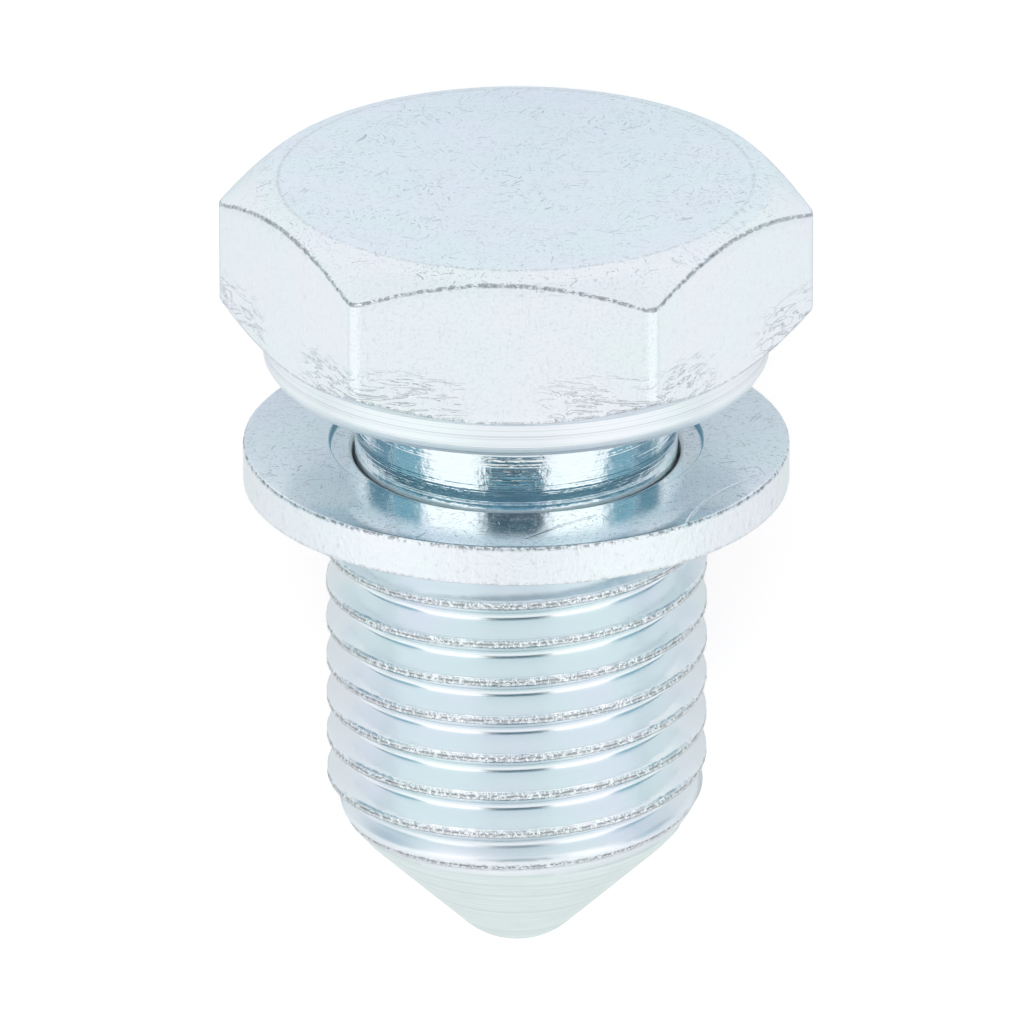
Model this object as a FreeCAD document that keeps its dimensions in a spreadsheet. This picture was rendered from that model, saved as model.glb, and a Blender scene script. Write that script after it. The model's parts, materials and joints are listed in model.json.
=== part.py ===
import FreeCAD, Part
import os
import Sketcher

# Oil drain plug with a captive washer, in millimetres.
#
# The plug is one piece: a hex head with a turned seal collar, a smooth neck,
# a right-hand rolled thread and a pointed, round-nosed tip. The washer is a
# second piece. It goes on the neck before the thread is rolled, so it stays
# loose between the collar and the first turn of the thread.
#
# Both pieces are drawn with their axis along Z and the collar's seal face at
# height 0, the head above it. The last step lays them down as the plug comes
# to rest on a bench: on the washer's rim and the end of the thread.

doc = FreeCAD.newDocument("drain_plug")

# Driving sizes, each written once

SIZES = {
    # hex head
    "spanner_width": 18.75,
    "corner_rounding": 0.70,
    "head_height": 7.07,
    "top_circle": 17.14,
    "crown_break_circle": 18.50,
    "crown_shallow_angle": 15.0,
    "crown_steep_angle": 33.0,
    "lower_chamfer_angle": 31.0,
    # seal collar under the hex
    "collar_diameter": 18.30,
    "collar_height": 1.30,
    "collar_bevel_width": 0.30,
    "collar_bevel_height": 0.45,
    "collar_root_bevel": 0.40,
    # smooth neck
    "neck_diameter": 11.70,
    "neck_length": 4.54,
    # thread
    "thread_nominal": 14.0,
    "thread_crest": 13.85,
    "thread_pitch": 1.50,
    "thread_start_angle": 45.0,
    "first_crest_depth": 6.73,
    # tip
    "lead_length": 1.32,
    "lead_step": 0.675,
    "ring_length": 0.63,
    "ring_step": 0.53,
    "tip_length": 4.32,
    "tip_angle": 45.5,
    "shank_length": 22.62,
    "nose_radius": 2.30,
    # captive washer
    "washer_diameter": 19.80,
    "washer_thickness": 1.50,
    "washer_seat_gap": 0.02,
    "bore_clearance": 0.10,
    "rim_top_bevel": 0.14,
    "rim_lower_bevel": 0.10,
    "coin_diameter": 13.50,
    "coin_depth": 0.28,
    "coin_slope": 0.08,
    "lip_bevel": 0.12,
}

# Sizes worked out from the driving ones. A depth is measured down from the
# seal face. The thread's groove is the standard 60 degree one: its flanks
# would meet 7/8 of the sharp height below the nominal radius, and its flat
# root lies 1/6 of that height outside the place where they would meet.

WORKED_OUT = {
    "hex_half": "spanner_width / 2",
    "hex_radius": "spanner_width / 2 / cos(30 deg)",
    "hex_half_radius": "spanner_width / 4 / cos(30 deg)",
    "hex_height": "head_height - collar_height",
    "top_radius": "top_circle / 2",
    "break_radius": "crown_break_circle / 2",
    "clear_radius": "hex_radius + 1",
    "clear_height": "head_height + 1",
    "break_height": "head_height - (break_radius - top_radius) * tan(crown_shallow_angle * 1 deg)",
    "crown_foot": "break_height - (clear_radius - break_radius) * tan(crown_steep_angle * 1 deg)",
    "lower_chamfer_top": "collar_height + (clear_radius - collar_radius) * tan(lower_chamfer_angle * 1 deg)",
    "collar_radius": "collar_diameter / 2",
    "seal_radius": "collar_radius - collar_bevel_width",
    "collar_hold": "collar_height + 1",
    "neck_radius": "neck_diameter / 2",
    "thread_radius": "thread_crest / 2",
    "thread_start_depth": "neck_length + (thread_radius - neck_radius) / tan(thread_start_angle * 1 deg)",
    "ring_depth": "shank_length - tip_length",
    "lead_depth": "ring_depth - ring_length",
    "thread_end_depth": "lead_depth - lead_length",
    "lead_radius": "thread_radius - lead_step",
    "ring_radius": "lead_radius - ring_step",
    "nose_flat": "ring_radius - tip_length * tan(tip_angle * 1 deg)",
    "sharp_height": "thread_pitch * cos(30 deg)",
    "flank_meet": "thread_nominal / 2 - sharp_height * 7 / 8",
    "root_radius": "flank_meet + sharp_height / 6",
    "root_half": "(root_radius - flank_meet) * tan(30 deg)",
    "groove_mouth": "thread_radius + thread_pitch / 10",
    "groove_mouth_half": "(groove_mouth - flank_meet) * tan(30 deg)",
    "groove_depth": "first_crest_depth + thread_pitch / 4",
    "turns_below": "ceil((ring_depth - groove_depth) / thread_pitch)",
    "turns_above": "ceil((groove_depth - neck_length) / thread_pitch + 0.5)",
    "helix_foot": "groove_depth + turns_below * thread_pitch",
    "groove_root_low": "helix_foot + root_half",
    "groove_root_high": "helix_foot - root_half",
    "groove_mouth_low": "helix_foot + groove_mouth_half",
    "groove_mouth_high": "helix_foot - groove_mouth_half",
    "helix_height": "(turns_below + turns_above) * thread_pitch",
    "bore_radius": "neck_radius + bore_clearance",
    "washer_radius": "washer_diameter / 2",
    "washer_under": "neck_length + bore_clearance / tan(thread_start_angle * 1 deg) - washer_seat_gap",
    "washer_top": "washer_under - washer_thickness",
    "coin_radius": "coin_diameter / 2",
    "coin_floor": "washer_top + coin_depth",
    "lip_depth": "coin_floor + coin_slope",
    "washer_travel": "washer_top - washer_seat_gap",
    "rim_foot": "washer_under - rim_lower_bevel",
    "lean": "atan((washer_radius - thread_radius) / (thread_end_depth - rim_foot)) / 1 deg",
}

sizes = doc.addObject("Spreadsheet::Sheet", "sizes")
for row, (alias, value) in enumerate(SIZES.items(), start=1):
    sizes.set(f"A{row}", alias)
    sizes.set(f"B{row}", str(value))
    sizes.setAlias(f"B{row}", alias)
for row, (alias, formula) in enumerate(WORKED_OUT.items(), start=len(SIZES) + 2):
    sizes.set(f"A{row}", alias)
    sizes.set(f"B{row}", f"={formula}")
    sizes.setAlias(f"B{row}", alias)
doc.recompute()


def size(alias):
    """A size from the sheet as a plain number, "0" being zero."""
    if alias == "0":
        return 0.0
    value = float(sizes.get(alias.lstrip("-")))
    return -value if alias.startswith("-") else value


def bound(alias):
    """The same size as a formula that follows the sheet."""
    return f"-sizes.{alias[1:]}" if alias.startswith("-") else f"sizes.{alias}"


def origin_part(body, role):
    """One of the body's own planes or axes."""
    return next(f for f in body.Origin.OriginFeatures if f.Role == role)


def draw(body, name, plane, corners):
    """A closed outline through named corners, each held by the sheet.

    A corner is (across, up): two aliases, with a minus in front of one that
    lies below the seal face or across the axis."""
    sketch = body.newObject("Sketcher::SketchObject", name)
    sketch.AttachmentSupport = (origin_part(body, plane), [""])
    sketch.MapMode = "FlatFace"
    points = [FreeCAD.Vector(size(across), size(up), 0) for across, up in corners]
    for start, end in zip(points, points[1:] + points[:1]):
        sketch.addGeometry(Part.LineSegment(start, end), False)
    for side, (across, up) in enumerate(corners):
        before = (side - 1) % len(corners)
        sketch.addConstraint(Sketcher.Constraint("Coincident", before, 2, side, 1))
        for kind, axis, alias in (("DistanceX", -2, across), ("DistanceY", -1, up)):
            if alias == "0":
                sketch.addConstraint(Sketcher.Constraint("PointOnObject", side, 1, axis))
                continue
            held = Sketcher.Constraint(kind, -1, 1, side, 1, size(alias))
            number = sketch.addConstraint(held)
            sketch.setExpression(f"Constraints[{number}]", bound(alias))
    doc.recompute()
    return sketch


def spin(body, kind, name, sketch):
    """A full turn of an outline about the body's axis."""
    feature = body.newObject(f"PartDesign::{kind}", name)
    feature.Profile = sketch
    feature.ReferenceAxis = (origin_part(body, "Z_Axis"), [""])
    feature.Angle = 360
    doc.recompute()
    return feature


def ease(body, kind, name, alias, wanted):
    """A Fillet or Chamfer on every edge of the body for which wanted is true."""
    base = body.Tip
    edges = [f"Edge{n}" for n, edge in enumerate(base.Shape.Edges, start=1) if wanted(edge)]
    if not edges:
        raise ValueError(f"{name} finds no edge")
    feature = body.newObject(f"PartDesign::{kind}", name)
    feature.Base = (base, edges)
    feature.setExpression("Radius" if kind == "Fillet" else "Size", bound(alias))
    doc.recompute()
    return feature


def ring_at(radius, up):
    """True for a full circle about the axis, of that radius and height."""

    def wanted(edge):
        curve = edge.Curve
        if not isinstance(curve, Part.Circle):
            return False
        return abs(curve.Radius - size(radius)) < 1e-4 and abs(curve.Center.z - size(up)) < 1e-4

    return wanted


# The plug

plug = doc.addObject("PartDesign::Body", "plug")
plug.Label = "plug"

# The hex, as cut or pressed, with its six corners slightly rounded
hex_corners = [
    ("hex_radius", "0"),
    ("hex_half_radius", "hex_half"),
    ("-hex_half_radius", "hex_half"),
    ("-hex_radius", "0"),
    ("-hex_half_radius", "-hex_half"),
    ("hex_half_radius", "-hex_half"),
]
hex_outline = draw(plug, "hex_outline", "XY_Plane", hex_corners)
hex_outline.setExpression("AttachmentOffset.Base.z", bound("collar_height"))
hex_prism = plug.newObject("PartDesign::Pad", "hex_prism")
hex_prism.Profile = hex_outline
hex_prism.setExpression("Length", bound("hex_height"))
doc.recompute()


def upright(edge):
    """True for the hex's six corner edges."""
    return isinstance(edge.Curve, Part.Line) and abs(edge.tangentAt(edge.FirstParameter).z) > 0.999


ease(plug, "Fillet", "hex_corners", "corner_rounding", upright)

# The crown over the hex: shallow beside the top circle, steeper to the corners
crown = draw(
    plug,
    "crown_outline",
    "XZ_Plane",
    [
        ("top_radius", "head_height"),
        ("break_radius", "break_height"),
        ("clear_radius", "crown_foot"),
        ("clear_radius", "clear_height"),
        ("top_radius", "clear_height"),
    ],
)
spin(plug, "Groove", "crown_cut", crown)

# The like chamfer under the hex runs out on the collar
under = draw(
    plug,
    "under_outline",
    "XZ_Plane",
    [
        ("collar_radius", "collar_height"),
        ("clear_radius", "lower_chamfer_top"),
        ("clear_radius", "0"),
        ("collar_radius", "0"),
    ],
)
spin(plug, "Groove", "under_cut", under)

# Collar, neck, thread blank and tip are turned in one outline
turned = draw(
    plug,
    "turned_outline",
    "XZ_Plane",
    [
        ("0", "collar_hold"),
        ("collar_radius", "collar_hold"),
        ("collar_radius", "collar_bevel_height"),
        ("seal_radius", "0"),
        ("neck_radius", "0"),
        ("neck_radius", "-neck_length"),
        ("thread_radius", "-thread_start_depth"),
        ("thread_radius", "-thread_end_depth"),
        ("lead_radius", "-lead_depth"),
        ("ring_radius", "-ring_depth"),
        ("nose_flat", "-shank_length"),
        ("0", "-shank_length"),
    ],
)
spin(plug, "Revolution", "turned_shank", turned)
ease(plug, "Chamfer", "collar_root", "collar_root_bevel", ring_at("neck_radius", "0"))
ease(plug, "Fillet", "nose", "nose_radius", ring_at("nose_flat", "-shank_length"))

# The right-hand thread: one groove that starts below the tip's ring, where it
# is outside the cone, and runs out in the neck
groove = draw(
    plug,
    "groove_outline",
    "XZ_Plane",
    [
        ("root_radius", "-groove_root_low"),
        ("groove_mouth", "-groove_mouth_low"),
        ("groove_mouth", "-groove_mouth_high"),
        ("root_radius", "-groove_root_high"),
    ],
)
before_thread = plug.Shape.Volume
thread = plug.newObject("PartDesign::SubtractiveHelix", "thread")
thread.Profile = groove
thread.ReferenceAxis = (origin_part(plug, "Z_Axis"), [""])
thread.Mode = "pitch-height-angle"
thread.setExpression("Pitch", bound("thread_pitch"))
thread.setExpression("Height", bound("helix_height"))
thread.LeftHanded = False
thread.Reversed = False
doc.recompute()
print(f"thread groove takes {before_thread - plug.Shape.Volume:.1f} mm3")

# The captive washer

washer = doc.addObject("PartDesign::Body", "captive_washer")
washer.Label = "captive_washer"

# Stamped ring, with the coined step round its bore on the head side
washer_outline = draw(
    washer,
    "washer_outline",
    "XZ_Plane",
    [
        ("bore_radius", "-washer_under"),
        ("washer_radius", "-washer_under"),
        ("washer_radius", "-washer_top"),
        ("coin_radius", "-washer_top"),
        ("coin_radius", "-coin_floor"),
        ("bore_radius", "-lip_depth"),
    ],
)
spin(washer, "Revolution", "washer_ring", washer_outline)
ease(washer, "Chamfer", "rim_top", "rim_top_bevel", ring_at("washer_radius", "-washer_top"))
ease(washer, "Chamfer", "rim_lower", "rim_lower_bevel", ring_at("washer_radius", "-washer_under"))
ease(washer, "Chamfer", "lip", "lip_bevel", ring_at("bore_radius", "-lip_depth"))

# Rest: the plug lies along X with the tip down, on the washer's rim and the
# end of the thread, a flat of the hex on top. The origin is on the floor, under
# the middle of the outline.

turn_axis_to_x = FreeCAD.Rotation(FreeCAD.Vector(0, 1, 0), 90)
turn_flat_up = FreeCAD.Rotation(FreeCAD.Vector(1, 0, 0), -90)
lean_on_tip = FreeCAD.Rotation(FreeCAD.Vector(0, 1, 0), -size("lean"))
lie = lean_on_tip.multiply(turn_flat_up).multiply(turn_axis_to_x)
for body in (plug, washer):
    body.Placement = FreeCAD.Placement(FreeCAD.Vector(0, 0, 0), lie)
doc.recompute()
outline = plug.Shape.optimalBoundingBox(False)
outline.add(washer.Shape.optimalBoundingBox(False))
onto_floor = FreeCAD.Vector(-outline.Center.x, 0, -outline.ZMin)
for body in (plug, washer):
    body.Placement = FreeCAD.Placement(onto_floor, lie)
doc.recompute()
print(f"leans {size('lean'):.3f} degrees, seal face centre at {tuple(round(v, 4) for v in onto_floor)}")

# Every feature and both pieces are sound before anything is written

for feature in doc.Objects:
    bad = [state for state in feature.State if state in ("Invalid", "Error")]
    if bad:
        raise RuntimeError(f"{feature.Name} is {bad}")
os.makedirs("parts", exist_ok=True)
for body in (plug, washer):
    shape = body.Shape
    if shape.isNull() or not shape.isValid() or len(shape.Solids) != 1:
        raise RuntimeError(f"{body.Label} is not one sound solid")
    shape.exportStep(f"parts/{body.Label}.step")
    box = shape.optimalBoundingBox(False)
    print(
        f"{body.Label}: {shape.Volume:.1f} mm3, {len(shape.Faces)} faces,"
        f" {box.XLength:.3f} x {box.YLength:.3f} x {box.ZLength:.3f} mm"
    )
print(f"washer travel {size('washer_travel'):.3f} mm")
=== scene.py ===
# %% [markdown]
# # A zinc-plated oil drain plug with a captive washer
# The part is already measured and packed as solids. This lesson gives it its looks: a finer mesh for
# each of its two pieces, the worn zinc on them, and the white studio that they are photographed in.

# %% Load the frame
import json
import math

import bmesh
import bpy
import numpy as np
from mathutils import Matrix, Vector


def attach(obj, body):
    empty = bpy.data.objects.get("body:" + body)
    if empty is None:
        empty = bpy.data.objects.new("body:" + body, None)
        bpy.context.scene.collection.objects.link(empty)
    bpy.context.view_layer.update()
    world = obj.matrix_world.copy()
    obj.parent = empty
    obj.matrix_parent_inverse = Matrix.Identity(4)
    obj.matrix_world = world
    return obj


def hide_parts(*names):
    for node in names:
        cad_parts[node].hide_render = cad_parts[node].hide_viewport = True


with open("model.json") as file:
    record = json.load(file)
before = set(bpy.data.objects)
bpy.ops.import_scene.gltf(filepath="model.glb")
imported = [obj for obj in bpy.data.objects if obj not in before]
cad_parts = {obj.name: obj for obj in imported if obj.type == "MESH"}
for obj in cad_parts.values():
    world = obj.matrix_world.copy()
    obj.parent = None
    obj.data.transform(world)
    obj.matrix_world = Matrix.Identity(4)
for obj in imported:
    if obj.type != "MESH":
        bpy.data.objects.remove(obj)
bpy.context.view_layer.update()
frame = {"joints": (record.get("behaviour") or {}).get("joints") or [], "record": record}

# %% [markdown]
# The plug can't stand on its tip, so it lies on its washer's rim and the end of its thread, with the head
# a little raised. It is easier to think of it standing on its tip, with heights measured from the
# collar's seal face, as its drawing does. So every shape below is made standing, in millimetres, and one
# function lays it down and turns it to metres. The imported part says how: the washer slides along the
# plug's axis, and the head's mount is on that axis, at the top of the head.

# %% How the standing plug is laid down
MM = 0.001
HEAD_HEIGHT = 7.07
axis = Vector(frame["joints"][0]["axis"]).normalized()
head_top = next(m for m in frame["record"]["mounts"] if m["name"] == "head_side")
seal_centre = np.array(head_top["pos_m"]) / MM - np.array(axis) * HEAD_HEIGHT
lying = np.array([[0, axis.z, axis.x], [-1, 0, 0], [0, -axis.x, axis.z]])


def lay_down(standing):
    """Points of the standing plug, in millimetres, as points of the lying one, in metres."""
    return (np.asarray(standing, float) @ lying.T + seal_centre) * MM


print(f"leans {math.degrees(math.asin(axis.z)):.2f} degrees, seal face at {seal_centre.round(4)} mm")

# %% [markdown]
# Two helpers serve both pieces. One makes a row of points into a closed skin: the piece is cut
# like an orange into columns, each column has the same rows, and neighbouring rows are joined by faces.
# The other rounds the corners of a column's outline, because no real edge is perfectly sharp, and it is
# the rounded edge that catches the light.

# %% Helpers for skins of rings
COLUMNS = 420
angles = np.arange(COLUMNS) / COLUMNS * 2 * math.pi


def eased(corners):
    """An outline with each corner rounded.

    corners is a list of (radius, height, ease), each a number or one number a column; ease is how far
    from the corner the rounding starts, and 0 keeps the corner."""
    wide = [tuple(np.broadcast_to(np.asarray(v, float), (COLUMNS,)) for v in c) for c in corners]
    rows = []
    for k, (r, z, ease) in enumerate(wide):
        here = np.stack([r, z])
        if k in (0, len(wide) - 1) or ease.max() == 0:
            rows.append(here)
            continue
        before = np.stack(wide[k - 1][:2]) - here
        after = np.stack(wide[k + 1][:2]) - here
        start = here + before / np.linalg.norm(before, axis=0) * ease
        end = here + after / np.linalg.norm(after, axis=0) * ease
        for t in (0.0, 1 / 3, 2 / 3, 1.0):
            rows.append(start * (1 - t) ** 2 + here * 2 * t * (1 - t) + end * t**2)
    return rows


def split_rows(rows, first, count):
    """The rows with count more of them spread evenly between row first and the next one."""
    a, b = rows[first], rows[first + 1]
    more = [a + (b - a) * n / (count + 1) for n in range(1, count + 1)]
    return rows[: first + 1] + more + rows[first + 1 :]


def ring_points(rows):
    """Rows of (radius, height) as points, indexed by row, column and axis."""
    r = np.stack([row[0] for row in rows])
    z = np.stack([row[1] for row in rows])
    return np.stack([r * np.cos(angles), r * np.sin(angles), z], axis=-1)


def in_scene(name, data):
    """A new object of the scene that shows the data."""
    made = bpy.data.objects.new(name, data)
    bpy.context.scene.collection.objects.link(made)
    return made


def skin(name, points, top=None, bottom=None):
    """A mesh object from rows of rings, closed by a middle point where top or bottom is a height."""
    count = len(points)
    vertices = points.reshape(-1, 3)
    grid = np.arange(count * COLUMNS).reshape(count, COLUMNS)
    right = np.roll(grid, -1, axis=1)
    quads = np.stack([grid[:-1], grid[1:], right[1:], right[:-1]], axis=-1).reshape(-1, 4).tolist()
    extra = []
    if top is not None:
        extra.append((0, 0, top))
        middle = len(vertices)
        quads += [(middle, int(a), int(b)) for a, b in zip(grid[0], right[0])]
    if bottom is not None:
        extra.append((0, 0, bottom))
        middle = len(vertices) + len(extra) - 1
        quads += [(middle, int(b), int(a)) for a, b in zip(grid[-1], right[-1])]
    if extra:
        vertices = np.vstack([vertices, extra])
    mesh = bpy.data.meshes.new(name)
    mesh.from_pydata(vertices.tolist(), [], quads)
    mesh.update()
    print(f"{name}: {len(quads)} faces")
    return in_scene(name, mesh)


# %% [markdown]
# One small function adds a node to any tree, shader or geometry, with its settings and its inputs. An
# input is either a plain value or another node's output. The settings that come up again and again have
# names.


# %% The node helper
def add(tree, kind, settings=None, links=None):
    """A new node of that kind; links maps an input's name or number to a value or an output."""
    node = tree.nodes.new(kind)
    for key, value in (settings or {}).items():
        setattr(node, key, value)
    for key, value in (links or {}).items():
        if isinstance(value, bpy.types.NodeSocket):
            tree.links.new(value, node.inputs[key])
        else:
            node.inputs[key].default_value = value
    return node


EASED = {"interpolation_type": "SMOOTHSTEP"}
EVEN = {"interpolation_type": "LINEAR"}
PLUS = {"operation": "ADD"}
MINUS = {"operation": "SUBTRACT"}
TIMES = {"operation": "MULTIPLY"}
TIMES_PLUS = {"operation": "MULTIPLY_ADD"}
HIGHER = {"operation": "MAXIMUM"}
LOWER = {"operation": "MINIMUM"}
SIZE = {"operation": "ABSOLUTE"}
COLOURS = {"data_type": "RGBA"}


def linear(hex_colour):
    """An sRGB hex colour as linear red, green, blue and alpha."""
    parts = [int(hex_colour[k : k + 2], 16) / 255 for k in (1, 3, 5)]
    return tuple(p / 12.92 if p <= 0.04045 else ((p + 0.055) / 1.055) ** 2.4 for p in parts) + (1.0,)


# %% [markdown]
# ## The head, collar and neck
# A drain plug's head is cold-formed from wire: a punch presses the hex and its round crown in one blow.
# The crown is a shallow cone beside the flat top and a steeper one towards the corners, so it meets each
# flat in an arc. A like chamfer under the hex runs out on the turned collar. All of this is a column's
# outline that only depends on how far out the hex is at that angle, so it needs no boolean.

# %% Sizes of the head and the outline of the hex
NECK_LENGTH = 4.54
SPANNER_HALF = 18.75 / 2
CORNER_ROUNDING = 0.70
TOP_RADIUS = 17.14 / 2
BREAK_RADIUS = 18.50 / 2
CROWN_SHALLOW = math.tan(math.radians(15.0))
CROWN_STEEP = math.tan(math.radians(33.0))
LOWER_CHAMFER = math.tan(math.radians(31.0))
COLLAR_RADIUS = 18.30 / 2
COLLAR_HEIGHT = 1.30
SEAL_RADIUS = COLLAR_RADIUS - 0.30
SEAL_BEVEL = 0.45
NECK_RADIUS = 11.70 / 2
ROOT_BEVEL = 0.40


def hex_outline(angle):
    """How far out the hex with its rounded corners is at an angle; its flats face 30 degrees and on."""
    from_flat = angle % (math.pi / 3) - math.pi / 6
    flat = SPANNER_HALF / np.cos(from_flat)
    middle = (SPANNER_HALF - CORNER_ROUNDING) / math.cos(math.pi / 6)
    from_corner = math.pi / 6 - np.abs(from_flat)
    reach = np.maximum(CORNER_ROUNDING**2 - (middle * np.sin(from_corner)) ** 2, 0)
    corner = middle * np.cos(from_corner) + np.sqrt(reach)
    ends_at = math.atan((SPANNER_HALF - CORNER_ROUNDING) * math.tan(math.pi / 6) / SPANNER_HALF)
    return np.where(np.abs(from_flat) < ends_at, flat, corner)


hex_out = hex_outline(angles)
print(f"hex from {2 * hex_out.min():.2f} to {2 * hex_out.max():.2f} mm across")

# %% Head, collar and neck as rings
break_height = HEAD_HEIGHT - (BREAK_RADIUS - TOP_RADIUS) * CROWN_SHALLOW


def break_height_at(outer):
    """How high the crown's steep cone is where the hex is that far out."""
    return break_height - (outer - BREAK_RADIUS) * CROWN_STEEP


crown_foot = break_height_at(hex_out)
chamfer_top = COLLAR_HEIGHT + (hex_out - COLLAR_RADIUS) * LOWER_CHAMFER
head_rows = eased(
    [
        (2.0, HEAD_HEIGHT, 0),
        (5.0, HEAD_HEIGHT, 0),
        (8.3, HEAD_HEIGHT, 0),
        (TOP_RADIUS, HEAD_HEIGHT, 0.10),
        (BREAK_RADIUS, break_height, 0.06),
        (hex_out, crown_foot, 0.05),
        (hex_out, chamfer_top, 0.05),
        (COLLAR_RADIUS, COLLAR_HEIGHT, 0.06),
        (COLLAR_RADIUS, SEAL_BEVEL, 0.08),
        (SEAL_RADIUS, 0.0, 0.06),
        (NECK_RADIUS + ROOT_BEVEL, 0.0, 0.05),
        (NECK_RADIUS, -ROOT_BEVEL, 0.05),
        (NECK_RADIUS, -1.6, 0),
        (NECK_RADIUS, -3.0, 0),
        (NECK_RADIUS, -NECK_LENGTH, 0),
    ]
)
flat_row = next(n for n, row in enumerate(head_rows[:-1]) if (row[1] - head_rows[n + 1][1]).min() > 3)
head_rows = split_rows(head_rows, flat_row, 12)
print(f"{len(head_rows)} rings from the top of the head to the foot of the neck")

# %% [markdown]
# ## The thread
# The thread is rolled: two dies press a groove round the blank, which squeezes metal up into the crests.
# A rule says all of it, so Geometry Nodes make it. A flat grid is wrapped round the axis with each row
# one step further down the helix. Each point's distance from the groove's middle gives its radius: the
# flat root, a 30 degree flank, or the crest. The blank's own outline caps it, so the groove runs out in
# the neck above and on the cone below as the real one does. Where metal didn't quite fill the die, the
# crests stay torn, with a seam along them, so noise takes a little off there.

# %% Sizes of the thread
SHANK_LENGTH = 22.62
TIP_LENGTH = 4.32
RING_DEPTH = SHANK_LENGTH - TIP_LENGTH
LEAD_DEPTH = RING_DEPTH - 0.63
END_DEPTH = LEAD_DEPTH - 1.32
CREST_RADIUS = 13.85 / 2
PITCH = 1.50
SHARP_HEIGHT = PITCH * math.cos(math.pi / 6)
FLANK_MEET = 14.0 / 2 - SHARP_HEIGHT * 7 / 8
ROOT_RADIUS = FLANK_MEET + SHARP_HEIGHT / 6
GROOVE_DEPTH = 6.73 + PITCH / 4
START_DEPTH = NECK_LENGTH + CREST_RADIUS - NECK_RADIUS
LEAD_STEP = 0.675
RING_STEP = 0.53
ROWS_A_TURN = 14
TURNS = 11
FIRST_GROOVE = GROOVE_DEPTH - 2 * PITCH
# where the rows of half a turn lie, in shares of the pitch: close together at the root's and the
# crest's corners
ROW_SPACING = [0, 0.100, 0.150, 0.340, 0.540, 0.605, 0.665, 0.750]
print(f"root {ROOT_RADIUS:.3f} mm, crest {CREST_RADIUS:.3f} mm")
print(f"full thread from {START_DEPTH:.2f} to {END_DEPTH:.2f} mm")

# %% The thread tree's inputs
thread_tree = bpy.data.node_groups.new("rolled_thread", "GeometryNodeTree")
thread_tree.interface.new_socket("Geometry", in_out="OUTPUT", socket_type="NodeSocketGeometry")
thread_sizes = {
    "Pitch": PITCH,
    "First groove": FIRST_GROOVE,
    "Flank meet": FLANK_MEET,
    "Root radius": ROOT_RADIUS,
    "Crest radius": CREST_RADIUS,
    "Neck radius": NECK_RADIUS,
    "Neck length": NECK_LENGTH,
    "Start depth": START_DEPTH,
    "End depth": END_DEPTH,
    "Lead depth": LEAD_DEPTH,
    "Ring depth": RING_DEPTH,
    "Lead step": LEAD_STEP,
    "Ring step": RING_STEP,
    "Tear depth": 0.045,
    "Seam depth": 0.030,
    "Tear seed": 4.0,
}
for input_name in thread_sizes:
    thread_tree.interface.new_socket(input_name, in_out="INPUT", socket_type="NodeSocketFloat")
thread_tree.interface.new_socket("Material", in_out="INPUT", socket_type="NodeSocketMaterial")
tree = thread_tree
given = tree.nodes.new("NodeGroupInput").outputs
print(f"thread tree: {len(thread_sizes)} sizes and a material go in")

# %% [markdown]
# The thread starts as a flat grid, one unit wide, with a whole number of turns down it. A curve moves the
# rows of each turn closer together at the root's and the crest's corners, so that these stay crisp.

# %% The thread's grid
grid_size = {"Size X": 1.0, "Size Y": float(TURNS)}
grid_points = {"Vertices X": COLUMNS + 1, "Vertices Y": TURNS * ROWS_A_TURN + 1}
grid = add(tree, "GeometryNodeMeshGrid", links=grid_size | grid_points)
place = add(tree, "GeometryNodeInputPosition").outputs[0]
apart = add(tree, "ShaderNodeSeparateXYZ", links={0: place}).outputs
around = add(tree, "ShaderNodeMath", PLUS, {0: apart["X"], 1: 0.5}).outputs[0]
down = add(tree, "ShaderNodeMath", PLUS, {0: apart["Y"], 1: TURNS / 2 + 1e-4}).outputs[0]
turn = add(tree, "ShaderNodeMath", {"operation": "FLOOR"}, {0: down}).outputs[0]
share = add(tree, "ShaderNodeMath", MINUS, {0: down, 1: turn}).outputs[0]
share = add(tree, "ShaderNodeMath", MINUS, {0: share, 1: 1e-4}).outputs[0]
spacing = add(tree, "ShaderNodeFloatCurve", links={"Factor": 1.0, "Value": share})
curve = spacing.mapping.curves[0]
whole_turn = [v / 1.5 for v in ROW_SPACING] + [1 - v / 1.5 for v in ROW_SPACING[-2::-1]]
for n, value in enumerate(whole_turn):
    if n in (0, len(whole_turn) - 1):
        curve.points[0 if n == 0 else -1].location = (n / ROWS_A_TURN, value)
    else:
        curve.points.new(n / ROWS_A_TURN, value)
for point in curve.points:
    point.handle_type = "VECTOR"
spacing.mapping.update()
share = spacing.outputs[0]
print(f"grid: {TURNS} turns of {ROWS_A_TURN} rows, {COLUMNS} columns")

# %% [markdown]
# Each point's depth below the seal face goes down with the turns, and one pitch back up over a full round,
# which is what makes it a helix. Its distance from the nearest groove's middle, along the axis, gives the
# radius that the die would press it to.

# %% The groove
steps = add(tree, "ShaderNodeMath", PLUS, {0: turn, 1: share}).outputs[0]
steps = add(tree, "ShaderNodeMath", MINUS, {0: steps, 1: around}).outputs[0]
depth = {0: steps, 1: given["Pitch"], 2: given["First groove"]}
depth = add(tree, "ShaderNodeMath", TIMES_PLUS, depth).outputs[0]
limits = {"Min": given["Neck length"], "Max": given["Ring depth"]}
depth = add(tree, "ShaderNodeClamp", links={"Value": depth} | limits).outputs[0]

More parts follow.
